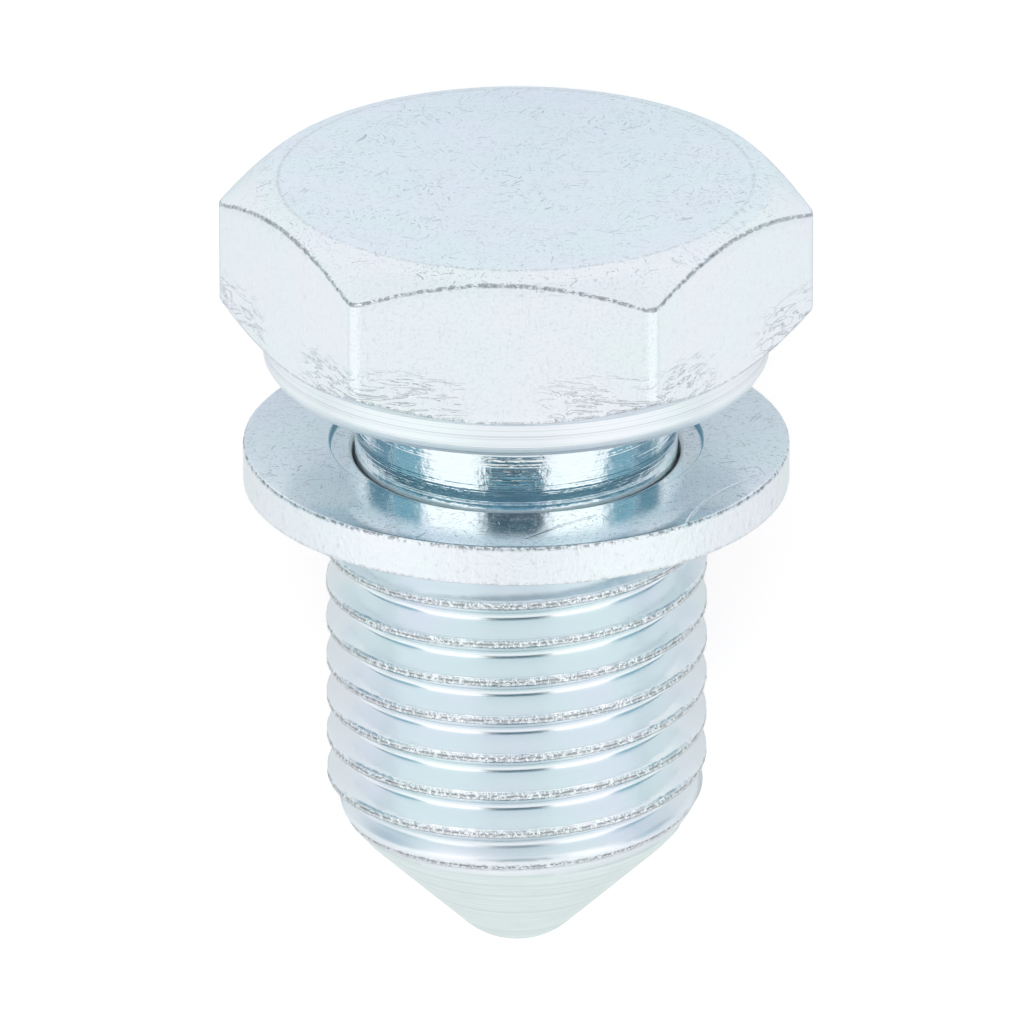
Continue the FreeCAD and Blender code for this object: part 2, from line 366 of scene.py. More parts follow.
phase = add(tree, "ShaderNodeMath", MINUS, {0: depth, 1: given["First groove"]}).outputs[0]
phase = add(tree, "ShaderNodeMath", {"operation": "DIVIDE"}, {0: phase, 1: given["Pitch"]}).outputs[0]
phase = add(tree, "ShaderNodeMath", PLUS, {0: phase, 1: around}).outputs[0]
from_groove = add(tree, "ShaderNodeMath", {"operation": "PINGPONG"}, {0: phase, 1: 0.5}).outputs[0]
from_groove = add(tree, "ShaderNodeMath", TIMES, {0: from_groove, 1: given["Pitch"]}).outputs[0]
flank = {0: from_groove, 1: math.sqrt(3), 2: given["Flank meet"]}
flank = add(tree, "ShaderNodeMath", TIMES_PLUS, flank).outputs[0]
flank = add(tree, "ShaderNodeMath", HIGHER, {0: flank, 1: given["Root radius"]}).outputs[0]
print(f"groove: pitch {PITCH} mm, {CREST_RADIUS - ROOT_RADIUS:.3f} mm deep")

# %% [markdown]
# The blank's own outline is a few ramps over the depth: the rise from the neck to the crest, and the two
# steps down to the cone. The last two ramps keep the torn crests off both ends.

# %% The blank
ramps = []
for first, last, at_first, at_last in (
    ("Neck length", "Start depth", given["Neck radius"], given["Crest radius"]),
    ("End depth", "Lead depth", 0.0, given["Lead step"]),
    ("Lead depth", "Ring depth", 0.0, given["Ring step"]),
    ("Neck length", "Start depth", 0.0, 1.0),
    ("Lead depth", "Ring depth", 1.0, 0.0),
):
    ends = {"From Min": given[first], "From Max": given[last], "To Min": at_first, "To Max": at_last}
    ramps.append(add(tree, "ShaderNodeMapRange", links={"Value": depth} | ends).outputs[0])
rise, lead, ring, inside, below = ramps
blank = add(tree, "ShaderNodeMath", MINUS, {0: rise, 1: lead}).outputs[0]
blank = add(tree, "ShaderNodeMath", MINUS, {0: blank, 1: ring}).outputs[0]
radius = add(tree, "ShaderNodeMath", LOWER, {0: flank, 1: blank}).outputs[0]
print(f"blank: {len(ramps)} ramps")

# %% [markdown]
# The torn crests are noise laid round the axis, so it has no seam where the grid closes. It takes a few
# hundredths of a millimetre off where the flank reaches the crest, and most along the crest's middle.

# %% The torn crests
angle = add(tree, "ShaderNodeMath", TIMES, {0: around, 1: 2 * math.pi}).outputs[0]
cosine = add(tree, "ShaderNodeMath", {"operation": "COSINE"}, {0: angle}).outputs[0]
sine = add(tree, "ShaderNodeMath", {"operation": "SINE"}, {0: angle}).outputs[0]
direction = add(tree, "ShaderNodeCombineXYZ", links={"X": cosine, "Y": sine}).outputs[0]
height = add(tree, "ShaderNodeMath", TIMES, {0: depth, 1: -1.0}).outputs[0]
upward = add(tree, "ShaderNodeCombineXYZ", links={"Z": height}).outputs[0]
wrapped = {0: direction, 1: (7.0, 7.0, 7.0), 2: upward}
wrapped = add(tree, "ShaderNodeVectorMath", TIMES_PLUS, wrapped).outputs[0]
noise = {"Vector": wrapped, "W": given["Tear seed"], "Scale": 3.2, "Detail": 3.0, "Roughness": 0.7}
tears = add(tree, "ShaderNodeTexNoise", {"noise_dimensions": "4D"}, noise).outputs[0]
ramps = []
for value, low, high, most in (
    (tears, 0.42, 0.68, given["Tear depth"]),
    (from_groove, 0.67, 0.75, given["Seam depth"]),
    (from_groove, 0.54, 0.64, 1.0),
):
    ends = {"Value": value, "From Min": low, "From Max": high, "To Max": most}
    ramps.append(add(tree, "ShaderNodeMapRange", EASED, ends).outputs[0])
tears, seam, on_crest = ramps
torn = add(tree, "ShaderNodeMath", PLUS, {0: tears, 1: seam}).outputs[0]
for kept in (on_crest, inside, below):
    torn = add(tree, "ShaderNodeMath", TIMES, {0: torn, 1: kept}).outputs[0]
radius = add(tree, "ShaderNodeMath", MINUS, {0: radius, 1: torn}).outputs[0]
print(f"tears up to {thread_sizes['Tear depth'] + thread_sizes['Seam depth']:.3f} mm deep")

# %% [markdown]
# At last the grid is wrapped round the axis, and merging by distance closes its seam and its collapsed
# ends.

# %% Wrap the grid
spot = {0: direction, "Scale": radius}
spot = add(tree, "ShaderNodeVectorMath", {"operation": "SCALE"}, spot).outputs[0]
spot = add(tree, "ShaderNodeVectorMath", PLUS, {0: spot, 1: upward}).outputs[0]
shape = grid.outputs["Mesh"]
for kind, links in (
    ("GeometryNodeSetPosition", {"Position": spot}),
    ("GeometryNodeMergeByDistance", {"Distance": 0.0008}),
    ("GeometryNodeRealizeInstances", {}),
    ("GeometryNodeSetMaterial", {"Material": given["Material"]}),
):
    shape = add(tree, kind, links={"Geometry": shape} | links).outputs[0]
add(tree, "NodeGroupOutput", links={"Geometry": shape})
print(f"thread tree: {len(tree.nodes)} nodes")

# %% [markdown]
# ## The tip
# Below the thread the blank was turned to a cone with a round nose, which finds the hole in the sump by
# itself. Two short steps lead from the thread to the cone, and the lower one leaves the faint ring that
# shows on it. It is drawn as the head is, from the last ring of the thread down to the middle of the nose.

# %% The tip as rings
TIP_ANGLE = 45.5
TIP_SLOPE = math.tan(math.radians(TIP_ANGLE))
NOSE_RADIUS = 2.30
ring_radius = CREST_RADIUS - LEAD_STEP - RING_STEP
nose_flat = ring_radius - TIP_LENGTH * TIP_SLOPE
nose_middle = nose_flat - NOSE_RADIUS * math.tan(math.radians(90 - TIP_ANGLE) / 2)
nose = [
    (nose_middle + NOSE_RADIUS * math.cos(t), -SHANK_LENGTH + NOSE_RADIUS - NOSE_RADIUS * math.sin(t), 0)
    for t in np.linspace(math.radians(TIP_ANGLE), math.radians(90), 9)
]
ring = (ring_radius, -RING_DEPTH, 0)
below_ring = (ring_radius - 0.05 * TIP_SLOPE, -RING_DEPTH - 0.05, 0)
tip_rows = split_rows(eased([ring, below_ring, *nose]), 1, 5)
print(f"nose meets the cone at radius {nose[0][0]:.2f} mm, height {nose[0][1]:.2f} mm")

# %% [markdown]
# ## One closed plug
# Head, thread and tip meet ring on ring, column on column, so merging the doubles makes one closed skin.
# The modifier's inputs are set by their sockets' identifiers before the thread is first evaluated.

# %% Join the plug


def from_modifier(name, tree, inputs):
    """The result of a node tree on an empty mesh, as a plain mesh object."""
    made = in_scene(name, bpy.data.meshes.new(name))
    modifier = made.modifiers.new("make", "NODES")
    modifier.node_group = tree
    for item in tree.interface.items_tree:
        if item.item_type == "SOCKET" and item.in_out == "INPUT" and item.name in inputs:
            modifier[item.identifier] = inputs[item.name]
    view = bpy.context.evaluated_depsgraph_get()
    plain = bpy.data.meshes.new_from_object(made.evaluated_get(view))
    made.modifiers.remove(modifier)
    made.data = plain
    return made


def points_of(mesh):
    """The mesh's points as an array."""
    flat = np.zeros(len(mesh.vertices) * 3)
    mesh.vertices.foreach_get("co", flat)
    return flat.reshape(-1, 3)


def join(name, parts, gap):
    """One mesh object from several, with doubles closer than gap merged and faces outwards."""
    whole = bmesh.new()
    for part in parts:
        whole.from_mesh(part.data)
        bpy.data.objects.remove(part)
    bmesh.ops.remove_doubles(whole, verts=whole.verts, dist=gap)
    bmesh.ops.recalc_face_normals(whole, faces=whole.faces)
    open_edges = sum(1 for edge in whole.edges if len(edge.link_faces) != 2)
    mesh = bpy.data.meshes.new(name)
    whole.to_mesh(mesh)
    whole.free()
    triangles = sum(len(face.vertices) - 2 for face in mesh.polygons)
    print(f"{name}: {triangles} triangles, {open_edges} open edges")
    return in_scene(name, mesh)


head_skin = skin("head_skin", ring_points(head_rows), top=HEAD_HEIGHT)
thread_skin = from_modifier("thread_skin", thread_tree, thread_sizes)
print(f"thread: {len(thread_skin.data.polygons)} faces")
tip_skin = skin("tip_skin", ring_points(tip_rows), bottom=-SHANK_LENGTH)
plug = join("drain_plug", [head_skin, thread_skin, tip_skin], 0.0015)

# %% [markdown]
# ## The captive washer
# The washer is punched from sheet, so its rim is part sheared and part torn, with a burr along the edge
# where the punch left it. A second punch coined a step round the bore, which gives it a thin bright lip.

# %% The washer as rings
BORE_RADIUS = NECK_RADIUS + 0.10
WASHER_UNDER = NECK_LENGTH + 0.10 - 0.02
WASHER_RADIUS = 19.80 / 2 - 0.004
WASHER_TOP = WASHER_UNDER - 1.50
COIN_RADIUS = 13.50 / 2
COIN_DEPTH = WASHER_TOP + 0.28
FACE_RING = 8.3
RIM_STARTS = 9.80
washer_rows = eased(
    [
        (BORE_RADIUS, -WASHER_UNDER + 0.3, 0),
        (BORE_RADIUS, -COIN_DEPTH - 0.08, 0.11),
        (COIN_RADIUS, -COIN_DEPTH, 0.03),
        (COIN_RADIUS, -WASHER_TOP, 0.05),
        (FACE_RING, -WASHER_TOP, 0),
        (WASHER_RADIUS, -WASHER_TOP, 0.14),
        (WASHER_RADIUS, -WASHER_UNDER, 0.10),
        (FACE_RING, -WASHER_UNDER, 0),
        (BORE_RADIUS, -WASHER_UNDER, 0.04),
        (BORE_RADIUS, -WASHER_UNDER + 0.3, 0),
    ]
)
rim_row = next(
    n
    for n, row in enumerate(washer_rows[:-1])
    if row[0].min() > RIM_STARTS and (row[1] - washer_rows[n + 1][1]).min() > 1
)
washer_rows = split_rows(washer_rows, rim_row, 14)
washer_skin = skin("washer_skin", ring_points(washer_rows))
washer = join("washer", [washer_skin], 0.0015)

# %% [markdown]
# ## Lay both pieces down
# Each mesh keeps its standing millimetres as an attribute, so a pattern's scale is a plain size on the
# plug. Where the thread's crest and seam and the hex's edges lie is painted on the plug's points in the
# same way; the washer's rim is told apart by its faces. Then the points themselves are laid down and
# turned to metres, so the objects stay at the origin, and each face gets the finish of its zone.

# %% Paint the finishes' places, lay down, smooth


def smooth(value, low, high):
    """0 below low, 1 above high, and an easy curve between."""
    t = np.clip((value - low) / (high - low), 0, 1)
    return t * t * (3 - 2 * t)


def paint(mesh, name, values):
    """One number a point, for the shaders."""
    mesh.attributes.new(name, "FLOAT", "POINT").data.foreach_set("value", values.astype(np.float32))


def centres_of(mesh):
    """Radius and height of each face's middle, of a standing mesh."""
    flat = np.zeros(len(mesh.polygons) * 3)
    mesh.polygons.foreach_get("center", flat)
    x, y, z = flat.reshape(-1, 3).T
    return np.hypot(x, y), z


plug_height = centres_of(plug.data)[1]
washer_radius = centres_of(washer.data)[0]
plug_zone = np.select(
    [plug_height > COLLAR_HEIGHT, plug_height > 0.02, plug_height > -NECK_LENGTH, plug_height > -LEAD_DEPTH],
    [0, 1, 2, 3],
    4,
)
washer_zone = (washer_radius > RIM_STARTS).astype(int)
x, y, z = points_of(plug.data).T
r = np.hypot(x, y)
on_thread = smooth(-z, NECK_LENGTH + 0.3, NECK_LENGTH + 0.9) * (1 - smooth(-z, LEAD_DEPTH, RING_DEPTH))
phase = ((-z - FIRST_GROOVE) / PITCH + np.arctan2(y, x) / (2 * math.pi)) % 1
from_groove = np.minimum(phase, 1 - phase) * PITCH
paint(plug.data, "crest", smooth(from_groove, 0.58, 0.66) * on_thread)
paint(plug.data, "seam", smooth(from_groove, 0.65, 0.74) * on_thread)
around = np.abs((np.arctan2(y, x) % (math.pi / 3)) - math.pi / 6) / (math.pi / 6)
outline = hex_outline(np.arctan2(y, x))
crown_edge = break_height_at(outline)
paint(plug.data, "edge_distance", np.hypot(r - outline, z - crown_edge))
chamfer_edge = COLLAR_HEIGHT + (outline - COLLAR_RADIUS) * LOWER_CHAMFER
paint(plug.data, "lower_distance", np.hypot(r - outline, z - chamfer_edge))
low = 1 - smooth(z, 2.0, 3.7)
paint(plug.data, "crumple", low * smooth(around, 0.15, 0.70) * smooth(r, 9.25, 9.37))
for piece in (plug, washer):
    standing = points_of(piece.data)
    kept = piece.data.attributes.new("standing", "FLOAT_VECTOR", "POINT")
    kept.data.foreach_set("vector", standing.ravel().astype(np.float32))
    piece.data.vertices.foreach_set("co", lay_down(standing).ravel())
    piece.data.shade_smooth()
    piece.data.update()
print("faces by finish:", np.bincount(plug_zone).tolist(), np.bincount(washer_zone).tolist())

# %% [markdown]
# ## Zinc
# All of it is one coating: bright zinc, dipped in a blue passivation that leaves it a cold white. What
# tells the zones apart is the steel under it. The head was pressed against a die, so it is satin and
# crumpled near the corners; the collar and the neck were turned and shine with fine rings; the thread was
# rolled and is smooth on its flanks; the washer was punched from sheet, with a torn rim.

# %% What every zinc finish shares
ZINC = linear("#E3EFF2")
LILAC = linear("#E6EDF4")
WORN = linear("#AEBCC6")
# dark grey of pits, and of the painted dark reflection along the head's crown edge
PIT_AND_EDGE_REFLECTION = linear("#80888C")


def patchy(tree, noise, low, high, least=0.0, most=1.0, settings=EASED):
    """A noise, and a patch: least where the noise is below low, rising to most where it is above high."""
    noise = add(tree, "ShaderNodeTexNoise", links=noise).outputs[0]
    ends = {"Value": noise, "From Min": low, "From Max": high, "To Min": least, "To Max": most}
    return noise, add(tree, "ShaderNodeMapRange", settings, ends).outputs[0]


def zinc(name, roughness):
    """A zinc material, with its tree, its shader, the standing place and height in millimetres, and its
    colour.

    The passivation is a film so thin that it tints the light, a little greener or more lilac by place."""
    material = bpy.data.materials.new(name)
    material.use_nodes = True
    tree = material.node_tree
    shader = tree.nodes["Principled BSDF"]
    shader.inputs["Metallic"].default_value = 1.0
    shader.inputs["Roughness"].default_value = roughness
    place = add(tree, "ShaderNodeAttribute", {"attribute_name": "standing"}).outputs["Vector"]
    height = add(tree, "ShaderNodeSeparateXYZ", links={0: place}).outputs["Z"]
    noise = {"Vector": place, "Scale": 0.28, "Detail": 2.0}
    film = patchy(tree, noise, 0.38, 0.62, settings=EVEN)[1]
    colour = add(tree, "ShaderNodeMix", COLOURS, {0: film, 6: ZINC, 7: LILAC}).outputs[2]
    return material, tree, shader, place, height, colour


def finish(tree, shader, colour, relief):
    """Gives the shader its colour and its relief.

    relief holds heights, each with how many millimetres it stands out, or below 0 is pressed in."""
    tree.links.new(colour, shader.inputs["Base Color"])
    under = {}
    for height, far in relief:
        links = {"Height": height, "Strength": 1.0, "Distance": abs(far) * MM} | under
        under = {"Normal": add(tree, "ShaderNodeBump", {"invert": far < 0}, links).outputs[0]}
    tree.links.new(under["Normal"], shader.inputs["Normal"])


print("zinc", [round(v, 3) for v in ZINC[:3]])

# %% [markdown]
# Wear comes in patches, and in lines too. A line is drawn where a value, such as a radius, is near a
# number. A scratch is a patch of noise that is stretched into thin strokes.

# %% Lines and scratches


def line_at(tree, value, at, half, full, most=1.0):
    """A line where the value is near at: nothing further off than half, and most of it within full."""
    off = add(tree, "ShaderNodeMath", MINUS, {0: value, 1: at}).outputs[0]
    off = add(tree, "ShaderNodeMath", SIZE, {0: off}).outputs[0]
    ends = {"Value": off, "From Min": half, "From Max": full, "To Max": most}
    return add(tree, "ShaderNodeMapRange", EASED, ends).outputs[0]


def scratched(tree, place, strokes, cut):
    """How deep hairline scratches go, 0 to 1: stretched noise, one layer for each way that they run."""
    total = 0.0
    for number, (turn, long, fine) in enumerate(strokes):
        shift = {"Location": (number * 7.3, 0, number), "Rotation": (0, 0, math.radians(turn))}
        turned = add(tree, "ShaderNodeMapping", links={"Vector": place} | shift).outputs[0]
        bent = {"Vector": turned, "Scale": 0.45, "Detail": 1.0}
        bent = add(tree, "ShaderNodeTexNoise", links=bent).outputs["Color"]
        drawn = {0: bent, 1: (2.2, 2.2, 2.2), 2: turned}
        drawn = add(tree, "ShaderNodeVectorMath", TIMES_PLUS, drawn).outputs[0]
        drawn = {0: drawn, 1: (1 / long, 1 / fine, 1 / fine)}
        drawn = add(tree, "ShaderNodeVectorMath", TIMES, drawn).outputs[0]
        line = patchy(tree, {"Vector": drawn, "Scale": 1.0, "Detail": 0.0}, cut, cut + 0.07)[1]
        total = add(tree, "ShaderNodeMath", PLUS, {0: total, 1: line}).outputs[0]
    return add(tree, "ShaderNodeMath", LOWER, {0: total, 1: 1.0}).outputs[0]


print("a patch is 2 nodes, a line 3, and scratches are 7 for each way that they run")

# %% [markdown]
# ### The head: cold-formed steel under the zinc
# A die leaves steel satin, so the roughness is middling. The flat top has been handled: it carries fine
# hairlines, which run all ways. They are noise stretched 30 times as long as it is wide, bent a little, in
# four layers. A real hairline is some 0.01 mm wide; these are drawn 0.07 mm wide, so that they show.

# %% The head's hairlines
head_zinc, tree, shader, place, height, colour = zinc("zinc_cold_formed", 0.24)
on_top = {"Value": height, "From Min": 6.2, "From Max": 6.9}
on_top = add(tree, "ShaderNodeMapRange", links=on_top).outputs[0]
strokes = [(12, 2.4, 0.07), (71, 1.8, 0.06), (118, 2.8, 0.07), (158, 1.4, 0.06)]
hairlines = scratched(tree, place, strokes, 0.735)
hairlines = add(tree, "ShaderNodeMath", TIMES, {0: hairlines, 1: on_top}).outputs[0]
noise = {"Vector": place, "Scale": 0.5, "Detail": 2.0}
handled = patchy(tree, noise, 0.38, 0.62, least=0.35, settings=EVEN)[1]
hairlines = add(tree, "ShaderNodeMath", TIMES, {0: hairlines, 1: handled}).outputs[0]
print(f"head: {len(tree.nodes)} nodes so far")

# %% [markdown]
# The flats slid along the die, so their faint marks run up and down. By their lower corners, where the
# metal was pushed in last, it lies in folds: wavy lines across the flat. They are contour lines of a
# stretched noise, about 0.3 mm apart, kept to the places that the attribute "crumple" names.

# %% The head's die marks and folds
drawn = add(tree, "ShaderNodeVectorMath", TIMES, {0: place, 1: (7.0, 7.0, 2.2)}).outputs[0]
drawn, marks = patchy(tree, {"Vector": drawn, "Scale": 1.0, "Detail": 3.0}, 0.58, 0.80)
beside = add(tree, "ShaderNodeMath", MINUS, {0: 1.0, 1: on_top}).outputs[0]
marks = add(tree, "ShaderNodeMath", TIMES, {0: marks, 1: beside}).outputs[0]

folds = add(tree, "ShaderNodeVectorMath", TIMES, {0: place, 1: (0.7, 0.7, 3.0)}).outputs[0]
folds = {"Vector": folds, "Scale": 1.0, "Detail": 3.0, "Distortion": 0.9}
folds = add(tree, "ShaderNodeTexNoise", links=folds).outputs[0]
folds = add(tree, "ShaderNodeMath", TIMES, {0: folds, 1: 4.5}).outputs[0]
folds = add(tree, "ShaderNodeMath", {"operation": "PINGPONG"}, {0: folds, 1: 0.5}).outputs[0]
folds = line_at(tree, folds, 0.0, 0.16, 0.0)
crumple = add(tree, "ShaderNodeAttribute", {"attribute_name": "crumple"}).outputs["Fac"]
folds = add(tree, "ShaderNodeMath", TIMES, {0: folds, 1: crumple}).outputs[0]
print(f"head: {len(tree.nodes)} nodes with its marks")

# %% [markdown]
# The crown's edge on the flats carries a painted dark reflection: where its rounding mirrors the
# camera's dark place, a grey line is painted in short runs. The rim of the top and the lower chamfer's
# edge get fainter darker lines. Each edge's attribute gives the distance to it, and noise breaks the
# line up.

# %% The head's edge lines, with a painted reflection on the crown's edge
flat = add(tree, "ShaderNodeVectorMath", TIMES, {0: place, 1: (1, 1, 0)}).outputs[0]
out = add(tree, "ShaderNodeVectorMath", {"operation": "LENGTH"}, {0: flat}).outputs["Value"]
# painted dark reflection along the crown's edge; fainter darker lines at the top's rim and the lower
# chamfer's edge
edge = line_at(tree, out, TOP_RADIUS, 0.11, 0.02, 0.20)
for attribute, full, most in (("edge_distance", 0.04, 0.68), ("lower_distance", 0.03, 0.34)):
    far = add(tree, "ShaderNodeAttribute", {"attribute_name": attribute}).outputs["Fac"]
    line = line_at(tree, far, 0.0, 0.13, full, most)
    edge = add(tree, "ShaderNodeMath", HIGHER, {0: edge, 1: line}).outputs[0]
noise = {"Vector": place, "Scale": 5.0, "Detail": 3.0, "Roughness": 0.7}
fine, broken = patchy(tree, noise, 0.40, 0.58)
edge = add(tree, "ShaderNodeMath", TIMES, {0: edge, 1: broken}).outputs[0]
print(f"head: {len(tree.nodes)} nodes with its edges")

# %% [markdown]
# All of these darken the zinc a little and press into it a few hundredths of a millimetre. A bump is
# enough for that: the edges that make a silhouette are in the mesh.

# %% The head's colour and relief
noise = {"Vector": place, "Scale": 9.0, "Detail": 2.0, "Roughness": 0.8}
worn = patchy(tree, noise, 0.48, 0.72, most=0.20)[1]
for layer, share in ((hairlines, 0.90), (marks, 0.22), (folds, 0.08)):
    worn = add(tree, "ShaderNodeMath", TIMES_PLUS, {0: layer, 1: share, 2: worn}).outputs[0]
colour = add(tree, "ShaderNodeMix", COLOURS, {0: worn, 6: colour, 7: WORN}).outputs[2]
# the edge lines painted dark grey: on the crown's edge a painted reflection of the camera's dark place
colour = add(tree, "ShaderNodeMix", COLOURS, {0: edge, 6: colour, 7: PIT_AND_EDGE_REFLECTION}).outputs[2]
crinkle = add(tree, "ShaderNodeMath", TIMES, {0: edge, 1: fine}).outputs[0]
finish(tree, shader, colour, [(drawn, 0.007), (folds, -0.04), (hairlines, -0.006), (crinkle, 0.09)])
print(f"head: {len(tree.nodes)} nodes in all")

# %% [markdown]
# ### The collar: turned steel under the zinc
# The collar's outside was turned after forming. The tool's feed leaves fine rings, so noise that only
# depends on the height both greys it and gives it its relief.

# %% The turned collar


def ringed(name, roughness, scale, detail):
    """A zinc material, with what zinc gives and the rings that a turning tool leaves."""
    material, tree, shader, place, height, colour = zinc(name, roughness)
    rings = {"W": height, "Scale": scale, "Detail": detail}
    rings = add(tree, "ShaderNodeTexNoise", {"noise_dimensions": "1D"}, rings).outputs[0]
    return material, tree, shader, place, colour, rings


collar_zinc, tree, shader, place, colour, rings = ringed("zinc_turned_collar", 0.30, 9.0, 2.0)
grey = {"Value": rings, "From Min": 0.52, "From Max": 0.66, "To Max": 0.45}
grey = add(tree, "ShaderNodeMapRange", EASED, grey).outputs[0]
colour = add(tree, "ShaderNodeMix", COLOURS, {0: grey, 6: colour, 7: WORN}).outputs[2]
finish(tree, shader, colour, [(rings, 0.02)])
print(f"collar: {len(tree.nodes)} nodes")

# %% [markdown]
# ### The neck: finely turned steel under the zinc
# The neck is the smoothest place, nearly a mirror, so its roughness is the lowest. It is mottled a little
# where the zinc grew unevenly.

# %% The turned neck
neck_zinc, tree, shader, place, colour, rings = ringed("zinc_turned_neck", 0.10, 7.0, 2.0)
mottled = add(tree, "ShaderNodeTexNoise", links={"Vector": place, "Scale": 3.2, "Detail": 3.0}).outputs[0]
finish(tree, shader, colour, [(rings, 0.013), (mottled, 0.02)])
print(f"neck: {len(tree.nodes)} nodes")

# %% [markdown]
# ### The thread: rolled steel under the zinc
# Rolling burnishes the flanks, so they are smooth and bright. The crests never touched the die and stay
# open: specks of duller metal sit in the tears that the mesh already has, thickest in the seam along the
# crest's middle, where the two folds of metal met. The last turn was cut back to lead into the hole, and
# is as rough as the tip.

# %% The rolled thread
thread_zinc, tree, shader, place, height, colour = zinc("zinc_rolled", 0.22)
crest = add(tree, "ShaderNodeAttribute", {"attribute_name": "crest"}).outputs["Fac"]
noise = {"Vector": place, "Scale": 6.5, "Detail": 2.0, "Roughness": 0.7}
specks, pits = patchy(tree, noise, 0.49, 0.60, most=0.42)
pits = add(tree, "ShaderNodeMath", TIMES, {0: pits, 1: crest}).outputs[0]
seam = add(tree, "ShaderNodeAttribute", {"attribute_name": "seam"}).outputs["Fac"]
deep = {"Value": specks, "From Min": 0.40, "From Max": 0.53, "To Max": 0.95}
deep = add(tree, "ShaderNodeMapRange", EASED, deep).outputs[0]
deep = add(tree, "ShaderNodeMath", TIMES, {0: deep, 1: seam}).outputs[0]
pits = add(tree, "ShaderNodeMath", HIGHER, {0: pits, 1: deep}).outputs[0]
colour = add(tree, "ShaderNodeMix", COLOURS, {0: pits, 6: colour, 7: PIT_AND_EDGE_REFLECTION}).outputs[2]
last_turn = {"From Min": 0.2 - END_DEPTH, "From Max": -0.4 - END_DEPTH, "To Min": 0.22, "To Max": 0.40}
rough = add(tree, "ShaderNodeMapRange", links={"Value": height} | last_turn).outputs[0]
tree.links.new(rough, shader.inputs["Roughness"])
torn = add(tree, "ShaderNodeMath", TIMES, {0: specks, 1: crest}).outputs[0]
finish(tree, shader, colour, [(torn, 0.08)])
print(f"thread: {len(tree.nodes)} nodes")

# %% [markdown]
# ### The tip: rough-turned steel under the zinc
# The cone was turned with a coarser feed and the zinc went on cloudy there, a little greener, so it is
# the dullest and palest place.

# %% The turned tip
tip_zinc, tree, shader, place, colour, rings = ringed("zinc_turned_tip", 0.34, 5.0, 3.0)
grey = {"Value": rings, "From Min": 0.42, "From Max": 0.66, "To Max": 0.34}
grey = add(tree, "ShaderNodeMapRange", EASED, grey).outputs[0]
noise = {"Vector": place, "Scale": 0.9, "Detail": 3.0}
cloudy = patchy(tree, noise, 0.42, 0.70, most=0.18, settings=EVEN)[1]
grey = add(tree, "ShaderNodeMath", HIGHER, {0: grey, 1: cloudy}).outputs[0]
shades = {0: grey, 6: linear("#E3F1F1"), 7: linear("#B7C9CC")}
finish(tree, shader, add(tree, "ShaderNodeMix", COLOURS, shades).outputs[2], [(rings, 0.02)])
print(f"tip: {len(tree.nodes)} nodes")

# %% [markdown]
# ### The washer's faces: rolled sheet under the zinc
# Sheet is smooth, so the washer mirrors the studio softly. Being loose, it has rubbed on everything: it has
# hairlines, specks, and two long gouges near its rim.

# %% The stamped washer
face_zinc, tree, shader, place, height, colour = zinc("zinc_stamped", 0.16)
hairlines = scratched(tree, place, [(25, 1.5, 0.07), (95, 1.2, 0.07), (150, 1.8, 0.08)], 0.74)
noise = {"Vector": place, "Scale": 6.0, "Detail": 2.0, "Roughness": 0.8}
grit = patchy(tree, noise, 0.50, 0.74, most=0.45)[1]
worn = add(tree, "ShaderNodeMath", TIMES_PLUS, {0: hairlines, 1: 0.6, 2: grit}).outputs[0]
colour = add(tree, "ShaderNodeMix", COLOURS, {0: worn, 6: colour, 7: WORN}).outputs[2]
print(f"washer: {len(tree.nodes)} nodes so far")

# %% [markdown]
# The step round the bore was scraped by the punch and is rougher, and its wall is painted a darker blue,
# a painted shade. The lip of the bore is rough, so it catches light from everywhere, and it is painted
# lighter too, a painted highlight that shows as a thin bright line. The gouges are arcs, each with its
# centre, radius, middle and half length, drawn about 0.15 mm wide.

# %% The washer's step and gouges
flat = add(tree, "ShaderNodeVectorMath", TIMES, {0: place, 1: (1, 1, 0)}).outputs[0]
out = add(tree, "ShaderNodeVectorMath", {"operation": "LENGTH"}, {0: flat}).outputs["Value"]
# painted shade: the step's wall in a darker blue
wall = line_at(tree, out, COIN_RADIUS, 0.07, 0.02, 0.80)
colour = add(tree, "ShaderNodeMix", COLOURS, {0: wall, 6: colour, 7: linear("#9CD2E6")}).outputs[2]
# painted highlight: the bore's lip in a lighter colour, on top of its rougher zinc
lip = line_at(tree, out, BORE_RADIUS, 0.17, 0.09)
colour = add(tree, "ShaderNodeMix", COLOURS, {0: lip, 6: colour, 7: linear("#F2F8F9")}).outputs[2]
scraped = add(tree, "ShaderNodeMath", HIGHER, {0: lip, 1: wall}).outputs[0]
rough = add(tree, "ShaderNodeMapRange", links={"Value": scraped, "To Min": 0.16, "To Max": 0.55}).outputs[0]
tree.links.new(rough, shader.inputs["Roughness"])

for centre, radius, middle, half in (
    ((13.384, -8.332, 0), 6.96, (7.20, -5.25, 0), 2.5),
    ((15.192, -22.864, 0), 20.0, (1.96, -7.87, 0), 1.7),
):
    from_centre, from_middle = (
        add(tree, "ShaderNodeVectorMath", {"operation": "DISTANCE"}, {0: flat, 1: spot}).outputs["Value"]
        for spot in (centre, middle)
    )
    line = line_at(tree, from_centre, radius, 0.085, 0.01)
    ends = {"Value": from_middle, "From Min": half, "From Max": half * 0.8, "To Max": 3.0}
    ends = add(tree, "ShaderNodeMapRange", links=ends).outputs[0]
    hairlines = add(tree, "ShaderNodeMath", TIMES_PLUS, {0: line, 1: ends, 2: hairlines}).outputs[0]
finish(tree, shader, colour, [(hairlines, -0.007)])
print(f"washer: {len(tree.nodes)} nodes in all")

# %% [markdown]
# ### The washer's rim: sheared steel under the zinc
# A punch cuts the first part of the sheet and tears the rest. So the rim is rough all over, and pitted
# along its two edges, where the burr was.

